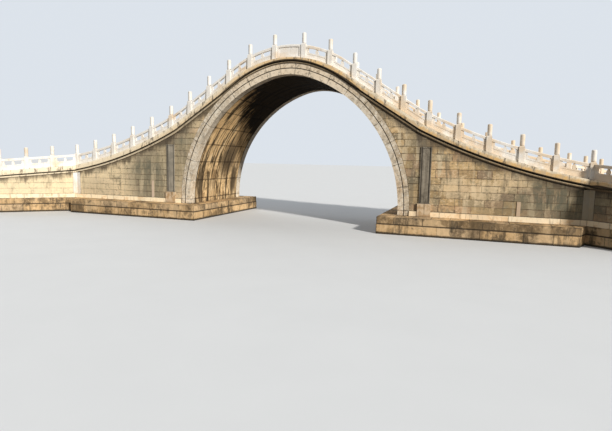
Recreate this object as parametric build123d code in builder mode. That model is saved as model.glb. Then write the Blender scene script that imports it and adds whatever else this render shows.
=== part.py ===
"""Marble moon bridge: one tall arch, stepped deck, pierced balustrades and flared wing walls.

Millimetres. X runs along the bridge, Y across it and Z up. The origin is midway
between the wall faces, under the crown, at the foot of the masonry.
"""
from math import asin, atan2, cos, degrees, radians, sin, sqrt, tan
import os

from build123d import *

# Width and footing
wall_gap = 5810
wall_thick = 500
footing_height = 800
lower_course_height = 470
footing_ledge = 950
footing_setback = 18
channel_ledge = 820
wing_ledge = 140
plinth_height = 250
plinth_stand_out = 80

# Arch
half_span = 5690
arch_rise = 6490
crown_radius = 3500
ring_thick = 310
hood_thick = 220
ring_depth = 450
ring_stand_out = 25
hood_stand_out = 40
groove_width = 40
groove_depth = 35
stones_over_crown = 3
stones_in_haunch = 8
strip_count = 7

# String line, which the deck, the cornice and the balustrade all follow
deck_rise = 260
string_crown_radius = 5365
rake_angle = 32.9
rake_length = 4250
turn_radius = 4300
foot_angle = 26.0
foot_radius = 25100
wing_fall_angle = 5.43

# Cornice
edge_thick_crown = 130
edge_thick_slope = 245
edge_blend_length = 3600
edge_stand_out = 150
fillet_thick = 150
fillet_stand_out = 75
quirk_height = 70
quirk_stand_out = 10

# Balustrade
crown_bay = 1558
bay_pitch = 1415
bays_each_side = 10
post_inset = 130
post_width = 230
post_body_height = 730
post_shoulder = 25
neck_width = 165
neck_height = 45
head_width = 205
head_height = 510
head_crown = 30
panel_height = 660
panel_thick = 90
rail_height = 130
rail_width = 140
rail_chamfer = 25
opening_height = 230
stile_width = 130
cloud_round = 95
vase_foot = 100
vase_belly = 150
vase_neck = 60
vase_height = 185
field_margin = 65
field_depth = 12
crown_border = 110
crown_field_depth = 40

# Wing walls
flare_angle = 45
wing_pitch = 1340
wing_bays = 3
wing_overrun = 190
pier_leg = 230
pier_stand_out = 20

# Steps
riser = 150
step_bed = 20
fill_least = 110
wall_tip = 15
paving_thick = 150

# Couplet pilasters and gauge strips
couplet_gap = 380
couplet_width = 485
couplet_headroom = 337
couplet_stand_out = 70
couplet_base_height = 370
couplet_base_lip = 60
couplet_margin = 55
couplet_field_depth = 25
gauge_width = 150
gauge_stand_out = 40
east_gauge_place = 10850
east_gauge_height = 640
west_gauge_place = -8200
west_gauge_height = 950

joint = 3
seam = 0.3
straight_limit = 0.01
search_step = 10

# Levels and places that follow from the sizes above
half_width = wall_gap / 2
spring_level = footing_height + plinth_height
vault_thick = ring_thick + hood_thick
crown_lift = arch_rise - crown_radius
haunch_radius = (half_span**2 + crown_lift**2 - crown_radius**2) / (2 * (half_span - crown_radius))
crown_centre = (0, spring_level + crown_lift)
haunch_centre = (half_span - haunch_radius, spring_level)
break_angle = degrees(atan2(-haunch_centre[0], crown_centre[1] - spring_level))
string_top = spring_level + arch_rise + vault_thick + deck_rise

rake_lean = (sin(radians(rake_angle)), cos(radians(rake_angle)))
foot_lean = (sin(radians(foot_angle)), cos(radians(foot_angle)))
rake_start = string_crown_radius * rake_lean[0]
rake_top = string_top - string_crown_radius * (1 - rake_lean[1])
rake_end = rake_start + rake_length * rake_lean[1]
rake_foot = rake_top - rake_length * rake_lean[0]
turn_centre = (rake_end + turn_radius * rake_lean[0], rake_foot + turn_radius * rake_lean[1])
turn_end = turn_centre[0] - turn_radius * foot_lean[0]
turn_foot = turn_centre[1] - turn_radius * foot_lean[1]
foot_centre = (turn_end + foot_radius * foot_lean[0], turn_foot + foot_radius * foot_lean[1])

wing_fall = tan(radians(wing_fall_angle))
half_flare = tan(radians(flare_angle / 2))
along_wing = (cos(radians(flare_angle)), -sin(radians(flare_angle)))
out_of_wing = (-sin(radians(flare_angle)), -cos(radians(flare_angle)))


def string_level(x):
    """Height of the string line at a distance from the crown."""
    x = abs(x)
    if x < rake_start:
        return string_top - string_crown_radius + sqrt(string_crown_radius**2 - x**2)
    if x < rake_end:
        return rake_top - (x - rake_start) * tan(radians(rake_angle))
    if x < turn_end:
        return turn_centre[1] - sqrt(turn_radius**2 - (x - turn_centre[0])**2)
    return foot_centre[1] - sqrt(foot_radius**2 - (x - foot_centre[0])**2)


def string_slope(x):
    """Angle of the string line below level, in radians."""
    x = abs(x)
    if x < rake_start:
        return asin(x / string_crown_radius)
    if x < rake_end:
        return radians(rake_angle)
    if x < turn_end:
        return asin((turn_centre[0] - x) / turn_radius)
    return asin((foot_centre[0] - x) / foot_radius)


def edge_level(x):
    """Underside of the edge stones, which are thinner over the crown."""
    share = min(abs(x) / edge_blend_length, 1)
    blend = share * share * (3 - 2 * share)
    thick = edge_thick_crown + (edge_thick_slope - edge_thick_crown) * blend
    return string_level(x) - thick / cos(string_slope(x))


def quirk_level(x):
    """Underside of the recess at the top of the fillet course."""
    return edge_level(x) - quirk_height / cos(string_slope(x))


def fillet_level(x):
    """Underside of the fillet course below the edge stones."""
    return edge_level(x) - fillet_thick / cos(string_slope(x))


def place_down_slope(start, length):
    """Place along X whose straight distance down the string line from start is length."""
    near, far = start, start + length
    while far - near > 0.01:
        middle = (near + far) / 2
        reach = sqrt((middle - start)**2 + (string_level(middle) - string_level(start))**2)
        if reach < length:
            near = middle
        else:
            far = middle
    return far


def place_of_level(level, limit):
    """Place along X where the string line has come down to a level."""
    near, far = 0, limit
    while far - near > 0.01:
        middle = (near + far) / 2
        if string_level(middle) > level:
            near = middle
        else:
            far = middle
    return far


def vault_level(x, growth):
    """Height of the arch's curve, grown outwards, at a distance from the crown."""
    crown = crown_radius + growth
    haunch = haunch_radius + growth
    if x < crown * sin(radians(break_angle)):
        return crown_centre[1] + sqrt(crown**2 - x**2)
    return haunch_centre[1] + sqrt(haunch**2 - (x - haunch_centre[0])**2)


def last_place_under(gap, limit):
    """Outermost place over the vault where a gap above it is still under a limit."""
    place = haunch_centre[0] + haunch_radius + vault_thick
    while gap(place) > limit:
        place -= search_step
    return place


post_places = [crown_bay / 2]
for bay in range(bays_each_side):
    post_places.append(place_down_slope(post_places[-1], bay_pitch))

corner_place = post_places[-1]
corner_level = string_level(corner_place)
wall_end = corner_place - post_inset * half_flare
wing_length = wing_bays * wing_pitch + wing_overrun


def wing_level(along):
    """Height of the wing's string line at a distance from the corner post."""
    return corner_level - wing_fall * along


def wing_top_level(along):
    """The same line, at a distance from the corner of the wall."""
    return wing_level(along + post_inset * half_flare)


def wing_edge_level(along):
    return wing_top_level(along) - edge_thick_slope


def wing_quirk_level(along):
    return wing_edge_level(along) - quirk_height


def wing_fillet_level(along):
    return wing_edge_level(along) - fillet_thick


def corner_point(out):
    """Plan point where the front face and the wing face turn, moved out by a distance."""
    return (wall_end - out * half_flare, -half_width - out)


def wing_point(along, out):
    """Plan point on the front east wing."""
    x = wall_end + along * along_wing[0] + out * out_of_wing[0]
    y = -half_width + along * along_wing[1] + out * out_of_wing[1]
    return (x, y)


def face_plane(out):
    """Upright plane of the front wall face, moved out towards the front."""
    return Plane.XZ.offset(half_width + out)


def wing_plane(out):
    """Upright plane of the front east wing face, with its X along the wing."""
    origin = (*wing_point(0, out), 0)
    return Plane(origin=origin, x_dir=(*along_wing, 0), z_dir=(*out_of_wing, 0))


mitre_normal = (cos(radians(flare_angle / 2)), -sin(radians(flare_angle / 2)), 0)
mitre_plane = Plane(origin=(wall_end, -half_width, 0), x_dir=(0, 0, 1), z_dir=mitre_normal)


def lifted(level, height):
    """Level line raised by a height."""
    return lambda x: level(x) + height


def sag_of(start, end, level):
    """How far a level line bends away from its chord."""
    return abs(level((start + end) / 2) - (level(start) + level(end)) / 2)


def follow(start, end, level):
    """Edges that follow a level line between two places, one to each arc of the string line."""
    turns = [place for place in (rake_start, rake_end, turn_end) if start < place < end]
    if sag_of(start, end, level) < straight_limit:
        turns = []
    stops = [start, *turns, end]
    for near, far in zip(stops, stops[1:]):
        first = (near, level(near))
        last = (far, level(far))
        if sag_of(near, far, level) < straight_limit:
            Line(first, last)
        else:
            ThreePointArc(first, ((near + far) / 2, level((near + far) / 2)), last)


def band(start, end, lower, upper):
    """Face between two level lines, inside a sketch."""
    with BuildLine() as outline:
        follow(start, end, lower)
        follow(start, end, upper)
        for place in (start, end):
            Line((place, lower(place)), (place, upper(place)))
    make_face(outline.edges())


def half_arch(growth, mode):
    """Half of the arch opening from the ground up, grown outwards, added to a sketch or cut from it."""
    crown = crown_radius + growth
    haunch = haunch_radius + growth
    with BuildLine() as outline:
        over_crown = CenterArc(crown_centre, crown, 90 - break_angle, break_angle)
        haunch_arc = CenterArc(haunch_centre, haunch, 0, 90 - break_angle)
        Line(haunch_arc @ 0, (haunch_centre[0] + haunch, 0))
        Line((haunch_centre[0] + haunch, 0), (0, 0))
        Line((0, 0), over_crown @ 1)
    make_face(outline.edges(), mode=mode)


def cut_arch(growth):
    half_arch(growth, Mode.SUBTRACT)


def voussoir(centre, inner, outer, start, size):
    """Face of one ring stone, with half a joint taken off each end."""
    trim = degrees(joint / 2 / inner)
    with BuildLine() as outline:
        soffit = CenterArc(centre, inner, start + trim, size - 2 * trim)
        back = CenterArc(centre, outer, start + trim, size - 2 * trim)
        Line(soffit @ 0, back @ 0)
        Line(soffit @ 1, back @ 1)
    make_face(outline.edges())


def ring_of_stones(plane, inner, outer, depth):
    """One ring of the vault: foot and haunch stones of both sides, then the stones over the crown."""
    crown_size = 2 * break_angle / stones_over_crown
    haunch_size = (90 - break_angle) / stones_in_haunch
    haunch_inner = haunch_radius + inner
    haunch_outer = haunch_radius + outer
    with BuildPart() as ring:
        with BuildSketch(plane):
            with Locations((half_span + inner, footing_height)):
                Rectangle(outer - inner, plinth_height - joint / 2, align=(Align.MIN, Align.MIN))
            for stone in range(stones_in_haunch):
                voussoir(haunch_centre, haunch_inner, haunch_outer, stone * haunch_size, haunch_size)
        extrude(amount=-depth)
        mirror(about=Plane.YZ)
        with BuildSketch(plane):
            for stone in range(stones_over_crown):
                start = 90 - break_angle + stone * crown_size
                voussoir(crown_centre, crown_radius + inner, crown_radius + outer, start, crown_size)
        extrude(amount=-depth)
    return ring.part


def save(name, part):
    part.label = name
    export_step(part, f"parts/{name}.step")


def mirrored(part, *planes):
    """Copy of a piece, mirrored about each plane in turn."""
    for plane in planes:
        with BuildPart() as copy:
            mirror(part, about=plane)
        part = copy.part
    return part


def save_pair(name, part, plane, names):
    """Writes a piece and its mirror image under two names."""
    save(f"{name}_{names[0]}", part)
    save(f"{name}_{names[1]}", mirrored(part, plane))


os.makedirs("parts", exist_ok=True)

# Footings, each one mass of masonry in two courses
for course in range(2):
    setback = course * footing_setback
    outline = [
        (half_span - channel_ledge + setback, -half_width - footing_ledge + setback),
        corner_point(footing_ledge - setback),
        corner_point(wing_ledge - setback),
        wing_point(wing_length + wing_ledge - setback, wing_ledge - setback),
        wing_point(wing_length + wing_ledge - setback, -wall_thick),
        corner_point(-wall_thick),
        (corner_place, -half_width + wall_thick),
    ]
    outline += [(x, -y) for x, y in reversed(outline)]
    if course == 0:
        lower_outline = outline
    else:
        upper_outline = outline

with BuildPart() as footing:
    with BuildSketch():
        with BuildLine():
            Polyline(*lower_outline, close=True)
        make_face()
    extrude(amount=lower_course_height)
    with BuildSketch(Plane.XY.offset(lower_course_height)):
        with BuildLine():
            Polyline(*upper_outline, close=True)
        make_face()
    extrude(amount=footing_height - lower_course_height)
save_pair("footing", footing.part, Plane.YZ, ("east", "west"))

# Plinth course beside the ring, which turns the corner with the wall
plinth_start = half_span + vault_thick + joint
with BuildPart() as plinth:
    with BuildSketch(Plane.XY.offset(footing_height)):
        with BuildLine():
            Polyline(
                (plinth_start, -half_width - plinth_stand_out),
                corner_point(plinth_stand_out),
                wing_point(wing_length + plinth_stand_out, plinth_stand_out),
                wing_point(wing_length + plinth_stand_out, -wall_thick),
                corner_point(-wall_thick),
                (plinth_start, -half_width + wall_thick),
                close=True,
            )
        make_face()
    extrude(amount=plinth_height)
    mirror(about=Plane.XZ)
save_pair("plinth", plinth.part, Plane.YZ, ("east", "west"))

# Face rings with a groove round their backs, and the hood bands beyond it
with BuildPart() as groove:
    with BuildSketch(face_plane(ring_stand_out)):
        half_arch(ring_thick, Mode.ADD)
        half_arch(ring_thick - groove_width, Mode.SUBTRACT)
    extrude(amount=-groove_depth)
    mirror(about=Plane.YZ)
with BuildPart() as arch_ring:
    add(ring_of_stones(face_plane(ring_stand_out), 0, ring_thick - joint, ring_depth + ring_stand_out))
    add(groove.part, mode=Mode.SUBTRACT)
save_pair("arch_ring", arch_ring.part, Plane.XZ, ("front", "back"))

hood_band = ring_of_stones(face_plane(hood_stand_out), ring_thick, vault_thick, ring_depth + hood_stand_out)
save_pair("hood_band", hood_band, Plane.XZ, ("front", "back"))

# Vault strips between the face rings
strip_width = (wall_gap - 2 * ring_depth) / strip_count
for strip in range(strip_count):
    strip_plane = Plane.XZ.offset(half_width - ring_depth - strip * strip_width - seam)
    save(f"vault_strip_{strip + 1}", ring_of_stones(strip_plane, 0, vault_thick, strip_width - 2 * seam))

# Spandrel walls, from the tip between hood band and fillet to the corner pier
pier_place = wall_end - pier_leg
wall_top = lifted(fillet_level, -seam)
wall_start = last_place_under(lambda x: wall_top(x) - vault_level(x, vault_thick + joint), wall_tip)
with BuildPart() as spandrel_wall:
    with BuildSketch(face_plane(0)):
        with BuildLine():
            wall_ends = [wall_start, *[place for place in post_places[:-1] if place > wall_start]]
            wall_ends.append(pier_place - joint)
            for near, far in zip(wall_ends, wall_ends[1:]):
                follow(near, far, wall_top)
            Polyline(
                (wall_ends[-1], wall_top(wall_ends[-1])),
                (wall_ends[-1], spring_level),
                (wall_ends[0], spring_level),
                (wall_ends[0], wall_top(wall_ends[0])),
            )
        make_face()
        cut_arch(vault_thick + joint)
    extrude(amount=-wall_thick)
for place, part in (("front", spandrel_wall.part), ("back", mirrored(spandrel_wall.part, Plane.XZ))):
    save_pair(f"spandrel_wall_{place}", part, Plane.YZ, ("east", "west"))

# Corner piers and wing walls
pier_top = min(wing_fillet_level(pier_leg), fillet_level(wall_end)) - seam
with BuildPart() as corner_piers:
    with BuildSketch(Plane.XY.offset(spring_level)):
        with BuildLine():
            Polyline(
                (pier_place, -half_width - pier_stand_out),
                corner_point(pier_stand_out),
                wing_point(pier_leg, pier_stand_out),
                wing_point(pier_leg, -wall_thick),
                corner_point(-wall_thick),
                (pier_place, -half_width + wall_thick),
                close=True,
            )
        make_face()
    extrude(amount=pier_top - spring_level)
    mirror(about=Plane.XZ)
    mirror(about=Plane.YZ)
save("corner_piers", corner_piers.part)

with BuildPart() as wing_wall:
    with BuildSketch(wing_plane(0)):
        with BuildLine():
            Polyline(
                (pier_leg + joint, spring_level),
                (wing_length, spring_level),
                (wing_length, wing_fillet_level(wing_length) - seam),
                (pier_leg + joint, wing_fillet_level(pier_leg + joint) - seam),
                close=True,
            )
        make_face()
    extrude(amount=-wall_thick)
    mirror(about=Plane.XZ)
save_pair("wing_walls", wing_wall.part, Plane.YZ, ("east", "west"))

# Core fill under the steps, and the fill between the wings
step_count = round((string_top - corner_level) / riser)
step_rise = (string_top - corner_level) / step_count
nosings = [crown_bay / 2]
levels = [string_level(crown_bay / 2)]
for step in range(1, step_count + 1):
    level = string_top - step * step_rise
    if level < levels[0] - step_rise / 2:
        nosings.append(place_of_level(level, corner_place))
        levels.append(level)
nosings[-1] = corner_place

step_thick = step_rise + step_bed
inner_width = wall_gap - 2 * wall_thick - 2 * seam
inner_plane = Plane.XZ.offset(-inner_width / 2)
treads = list(zip(nosings, nosings[1:], levels[1:]))
first_bed = lifted(string_level, -step_rise - step_thick)
fill_limit = last_place_under(lambda x: first_bed(x) - vault_level(x, vault_thick), fill_least)
filled_treads = [tread for tread in treads if tread[0] > fill_limit]
fill_start = filled_treads[0][0]

with BuildPart() as core_fill:
    with BuildSketch(inner_plane):
        with BuildLine():
            profile = [(corner_place, footing_height), (fill_start, footing_height)]
            for near, far, level in filled_treads:
                profile += [(near, level - step_thick), (far, level - step_thick)]
            Polyline(*profile, close=True)
        make_face()
        cut_arch(vault_thick + seam)
    extrude(amount=inner_width)
save_pair("core_fill", core_fill.part, Plane.YZ, ("east", "west"))

with BuildPart() as crown_landing:
    with BuildSketch(inner_plane):
        with BuildLine():
            Line((0, string_top), (nosings[0], string_top))
            Line((nosings[0], string_top), (nosings[0], spring_level))
            Line((nosings[0], spring_level), (0, spring_level))
            Line((0, spring_level), (0, string_top))
        make_face()
        cut_arch(vault_thick + seam)
    extrude(amount=inner_width)
    mirror(about=Plane.YZ)
save("crown_landing", crown_landing.part)

with BuildPart() as steps:
    with BuildSketch(inner_plane):
        for near, far, level in treads:
            depth = step_thick
            if near < fill_start:
                depth = level - spring_level
            with Locations((near + joint, level)):
                Rectangle(far - near - joint, depth, align=(Align.MIN, Align.MAX))
        cut_arch(vault_thick + seam)
    extrude(amount=inner_width)
save_pair("steps", steps.part, Plane.YZ, ("east", "west"))

approach_end = wing_point(wing_length, -wall_thick)
approach_start = corner_point(-wall_thick - seam)
approach_fall = wing_fall / along_wing[0]


def approach_level(x):
    return corner_level - approach_fall * (x - corner_place)


def approach_piece(low_start, low_end, high_start, high_end):
    """Trapezoid mass between the wings, between two sloping levels."""
    with BuildPart() as piece:
        with BuildSketch():
            with BuildLine():
                Polyline(
                    (corner_place + seam, approach_start[1]),
                    approach_start,
                    (approach_end[0], approach_end[1] + seam / along_wing[0]),
                    (approach_end[0], -approach_end[1] - seam / along_wing[0]),
                    (approach_start[0], -approach_start[1]),
                    (corner_place + seam, -approach_start[1]),
                    close=True,
                )
            make_face()
        extrude(amount=string_top)
        with BuildSketch(Plane.XZ.offset(-wall_gap)):
            with BuildLine():
                Polyline(
                    (corner_place, low_start),
                    (approach_end[0], low_end),
                    (approach_end[0], high_end),
                    (corner_place, high_start),
                    close=True,
                )
            make_face()
        extrude(amount=2 * wall_gap, mode=Mode.INTERSECT)
    return piece.part


end_level = approach_level(approach_end[0])
fill_part = approach_piece(0, 0, corner_level - paving_thick, end_level - paving_thick)
save_pair("approach_fill", fill_part, Plane.YZ, ("east", "west"))
paving_part = approach_piece(corner_level - paving_thick, end_level - paving_thick, corner_level, end_level)
save_pair("approach_paving", paving_part, Plane.YZ, ("east", "west"))

# Edge stones and fillet course, one stone to a bay, mitred at the corner
bay_ends = list(zip(post_places, post_places[1:]))
wing_posts = [bay * wing_pitch for bay in range(wing_bays + 1)]
wing_ends = list(zip(wing_posts, wing_posts[1:]))
overlap = 2 * wall_thick


def stones_of_run(stand_out, lower, upper):
    """One layer of a course over a wall, from the crown to past the corner."""
    with BuildPart() as layer:
        with BuildSketch(face_plane(stand_out)):
            band(0, post_places[0] - joint / 2, lower, upper)
            for start, end in bay_ends[:-1]:
                band(start + joint / 2, end - joint / 2, lower, upper)
            start, end = bay_ends[-1]
            band(start + joint / 2, end + overlap, lower, upper)
            cut_arch(vault_thick + joint)
        extrude(amount=-wall_thick - stand_out)
    return layer.part


def stones_of_wing(stand_out, lower, upper):
    """One layer of a course over a wing wall, from before the corner to its end."""
    with BuildPart() as layer:
        with BuildSketch(wing_plane(stand_out)):
            band(-overlap, wing_pitch - joint / 2, lower, upper)
            for start, end in wing_ends[1:-1]:
                band(start + joint / 2, end - joint / 2, lower, upper)
            band(wing_posts[-2] + joint / 2, wing_length + stand_out, lower, upper)
        extrude(amount=-wall_thick - stand_out)
    return layer.part


def save_course(name, layers, wing_layers):
    """Writes one course of the cornice, over the walls and over the wings, from its layers."""
    with BuildPart() as run:
        for layer in layers:
            add(stones_of_run(*layer))
        split(bisect_by=mitre_plane.offset(-joint / 2), keep=Keep.BOTTOM)
        mirror(about=Plane.YZ)
    save_pair(name, run.part, Plane.XZ, ("front", "back"))
    with BuildPart() as wing_run:
        for layer in wing_layers:
            add(stones_of_wing(*layer))
        split(bisect_by=mitre_plane.offset(joint / 2), keep=Keep.TOP)
        mirror(about=Plane.XZ)
        mirror(about=Plane.YZ)
    save(f"wing_{name}", wing_run.part)


save_course(
    "edge_stones",
    [(edge_stand_out, edge_level, string_level)],
    [(edge_stand_out, wing_edge_level, wing_top_level)],
)
save_course(
    "fillet",
    [(fillet_stand_out, fillet_level, quirk_level), (quirk_stand_out, quirk_level, edge_level)],
    [
        (fillet_stand_out, wing_fillet_level, wing_quirk_level),
        (quirk_stand_out, wing_quirk_level, wing_edge_level),
    ],
)


def post_face(place, level, right_level):
    """Face of a square post body whose foot follows the slope on each side of its middle."""
    left = place - post_width / 2
    right = place + post_width / 2
    with BuildLine() as outline:
        Polyline(
            (left, level(left) + seam),
            (place, level(place) + seam),
            (right, right_level + seam),
            (right, level(place) + post_body_height),
            (left, level(place) + post_body_height),
            close=True,
        )
    make_face(outline.edges())


def upward(faces):
    """Those faces of a piece that look up."""
    return faces.filter_by(lambda face: face.normal_at().Z > straight_limit)


def level_tops(faces):
    """Those faces of a piece that look straight up."""
    return upward(faces.filter_by(Axis.Z))


# Round head with a waisted neck, which stands on every post
with BuildPart() as post_head:
    with BuildSketch(Plane.XZ):
        with BuildLine():
            Polyline(
                (0, 0),
                (neck_width / 2, 0),
                (head_width / 2, neck_height),
                (head_width / 2, head_height - head_crown),
                (head_width / 2 - head_crown, head_height),
                (0, head_height),
                close=True,
            )
        make_face()
    revolve(axis=Axis.Z)

with BuildPart() as posts:
    with BuildSketch(face_plane(-post_inset + post_width / 2)):
        for place in post_places[:-1]:
            post_face(place, string_level, string_level(place + post_width / 2))
        post_face(corner_place, string_level, corner_level)
    extrude(amount=-post_width)
    chamfer(level_tops(posts.faces()).edges(), length=post_shoulder)
    for place in post_places:
        with Locations((place, -half_width + post_inset, string_level(place) + post_body_height)):
            add(post_head.part)
    mirror(about=Plane.YZ)
save_pair("posts", posts.part, Plane.XZ, ("front", "back"))


def parapet_plane(out):
    """Upright plane through the wing's line of posts, with its origin at the corner post."""
    start = (corner_place, -half_width + post_inset)
    origin = (start[0] + out * out_of_wing[0], start[1] + out * out_of_wing[1], 0)
    return Plane(origin=origin, x_dir=(*along_wing, 0), z_dir=(*out_of_wing, 0))


with BuildPart() as wing_post_set:
    with BuildSketch(parapet_plane(post_width / 2)):
        for along in wing_posts[1:]:
            post_face(along, wing_level, wing_level(along + post_width / 2))
    extrude(amount=-post_width)
    chamfer(level_tops(wing_post_set.faces()).edges(), length=post_shoulder)
    for along in wing_posts[1:]:
        spot = parapet_plane(0).from_local_coords(Vector(along, 0, 0))
        with Locations((spot.X, spot.Y, wing_level(along) + post_body_height)):
            add(post_head.part)
    mirror(about=Plane.XZ)
    mirror(about=Plane.YZ)
save("wing_posts", wing_post_set.part)


def handrails(plane_at, ends, level):
    """Rails between posts, with both long top edges chamfered."""
    clear = post_width / 2 + seam
    across = Axis((0, 0, 0), plane_at(0).z_dir)
    with BuildPart() as rails:
        with BuildSketch(plane_at(rail_width / 2)):
            for start, end in ends:
                rail_foot = lifted(level, panel_height - rail_height)
                band(start + clear, end - clear, rail_foot, lifted(level, panel_height))
        extrude(amount=-rail_width)
        chamfer(upward(rails.faces()).edges().filter_by(across, reverse=True), length=rail_chamfer)
    return rails.part


def cloud_opening(stile, vase, level):
    """Opening under the handrail, rounded at its stile and hollowed round the vase beside it."""
    towards = 1 if vase > stile else -1
    top = panel_height - rail_height
    low = top - opening_height
    bend = cloud_round * (1 - sqrt(1 / 2))
    shoulder = stile + towards * cloud_round
    foot = vase - towards * vase_foot / 2
    neck = vase - towards * vase_neck / 2

    def spot(x, height):
        return (x, level(x) + height)

    with BuildLine() as outline:
        follow(*sorted((stile, neck)), lifted(level, top))
        follow(*sorted((shoulder, foot)), lifted(level, low))
        round_end = spot(stile, low + cloud_round)
        Line(spot(stile, top), round_end)
        ThreePointArc(round_end, spot(stile + towards * bend, low + bend), spot(shoulder, low))
        belly = spot(vase - towards * vase_belly / 2, low + vase_height / 2)
        ThreePointArc(spot(foot, low), belly, spot(neck, low + vase_height))
        Line(spot(neck, low + vase_height), spot(neck, top))
    make_face(outline.edges())


def panel_set(plane_at, ends, level):
    """Pierced panels between posts: slab with a sunk field, two openings with a vase, and handrail."""
    clear = post_width / 2 + seam
    rail_foot = panel_height - rail_height
    slab_top = rail_foot - opening_height
    with BuildPart() as panels:
        with BuildSketch(plane_at(panel_thick / 2)):
            for start, end in ends:
                band(start + clear, end - clear, lifted(level, seam), lifted(level, rail_foot))
        extrude(amount=-panel_thick)
        with BuildSketch(plane_at(panel_thick / 2)):
            for start, end in ends:
                cloud_opening(start + clear + stile_width, (start + end) / 2, level)
                cloud_opening(end - clear - stile_width, (start + end) / 2, level)
        extrude(amount=-panel_thick, mode=Mode.SUBTRACT)
        field_foot = lifted(level, field_margin)
        field_top = lifted(level, slab_top - field_margin)
        for face in (panel_thick / 2, field_depth - panel_thick / 2):
            with BuildSketch(plane_at(face)):
                for start, end in ends:
                    band(start + clear + field_margin, end - clear - field_margin, field_foot, field_top)
            extrude(amount=-field_depth, mode=Mode.SUBTRACT)
        add(handrails(plane_at, ends, level))
    return panels.part


def front_parapet_plane(out):
    return face_plane(out - post_inset)


panel_part = panel_set(front_parapet_plane, bay_ends, string_level)
with BuildPart() as panels:
    add(panel_part)
    mirror(about=Plane.YZ)
save_pair("panels", panels.part, Plane.XZ, ("front", "back"))

wing_panel_part = panel_set(parapet_plane, wing_ends, wing_level)
with BuildPart() as wing_panels:
    add(wing_panel_part)
    with Locations((corner_place, -half_width + post_inset, corner_level)):
        Box(post_width + 2 * seam, post_width + 2 * seam, 2 * post_body_height, mode=Mode.SUBTRACT)
    mirror(about=Plane.XZ)
    mirror(about=Plane.YZ)
save("wing_panels", wing_panels.part)

# Solid crown panels, with an arched field sunk inside a raised border
crown_edge = crown_bay / 2 - post_width / 2 - seam
with BuildPart() as crown_panels:
    with BuildSketch(front_parapet_plane(rail_width / 2)):
        band(-crown_edge, crown_edge, lifted(string_level, seam), lifted(string_level, panel_height))
    extrude(amount=-rail_width)
    chamfer(upward(crown_panels.faces()).edges().filter_by(Axis.Y, reverse=True), length=rail_chamfer)
    crown_field_foot = lifted(string_level, crown_border)
    crown_field_top = lifted(string_level, panel_height - crown_border)
    for face in (rail_width / 2, crown_field_depth - rail_width / 2):
        with BuildSketch(front_parapet_plane(face)):
            band(crown_border - crown_edge, crown_edge - crown_border, crown_field_foot, crown_field_top)
        extrude(amount=-crown_field_depth, mode=Mode.SUBTRACT)
    mirror(about=Plane.XZ)
save("crown_panels", crown_panels.part)

# Couplet pilasters beside the arch, bare of text, on bases that pass in front of the plinth
base_stand_out = couplet_stand_out + couplet_base_lip
base_width = couplet_width + 2 * couplet_base_lip
base_place = half_span + vault_thick + couplet_gap
couplet_place = base_place + couplet_base_lip
shaft_foot = spring_level + couplet_base_height
shaft_height = fillet_level(couplet_place + couplet_width) - couplet_headroom - shaft_foot
with BuildPart() as couplets:
    for level, height, back in (
        (footing_height, plinth_height, plinth_stand_out + seam),
        (spring_level, couplet_base_height, seam),
    ):
        with BuildSketch(face_plane(base_stand_out)):
            with Locations((base_place, level)):
                Rectangle(base_width, height, align=(Align.MIN, Align.MIN))
        extrude(amount=back - base_stand_out)
    with BuildSketch(face_plane(couplet_stand_out)):
        with Locations((couplet_place, shaft_foot)):
            Rectangle(couplet_width, shaft_height, align=(Align.MIN, Align.MIN))
    extrude(amount=-couplet_stand_out + seam)
    field_width = couplet_width - 2 * couplet_margin
    field_height = shaft_height - 2 * couplet_margin
    with BuildSketch(face_plane(couplet_stand_out)):
        with Locations((couplet_place + couplet_margin, shaft_foot + couplet_margin)):
            Rectangle(field_width, field_height, align=(Align.MIN, Align.MIN))
    extrude(amount=-couplet_field_depth, mode=Mode.SUBTRACT)
    mirror(about=Plane.XZ)
    mirror(about=Plane.YZ)
save("couplet_pilasters", couplets.part)

with BuildPart() as gauge_strips:
    with BuildSketch(face_plane(gauge_stand_out)):
        with Locations((east_gauge_place, spring_level)):
            Rectangle(gauge_width, east_gauge_height, align=(Align.MIN, Align.MIN))
        with Locations((west_gauge_place, spring_level)):
            Rectangle(gauge_width, west_gauge_height, align=(Align.MIN, Align.MIN))
    extrude(amount=-gauge_stand_out + seam)
save("gauge_strips", gauge_strips.part)
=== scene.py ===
"""Looks of the marble moon bridge: laid stones, weathered finishes, floor, light and camera.

Metres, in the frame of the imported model. X runs along the bridge from west to east, Y across
it away from the viewed face, and Z up.
"""
import math
import random

import bmesh
import bpy
from mathutils import Matrix, Vector


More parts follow.
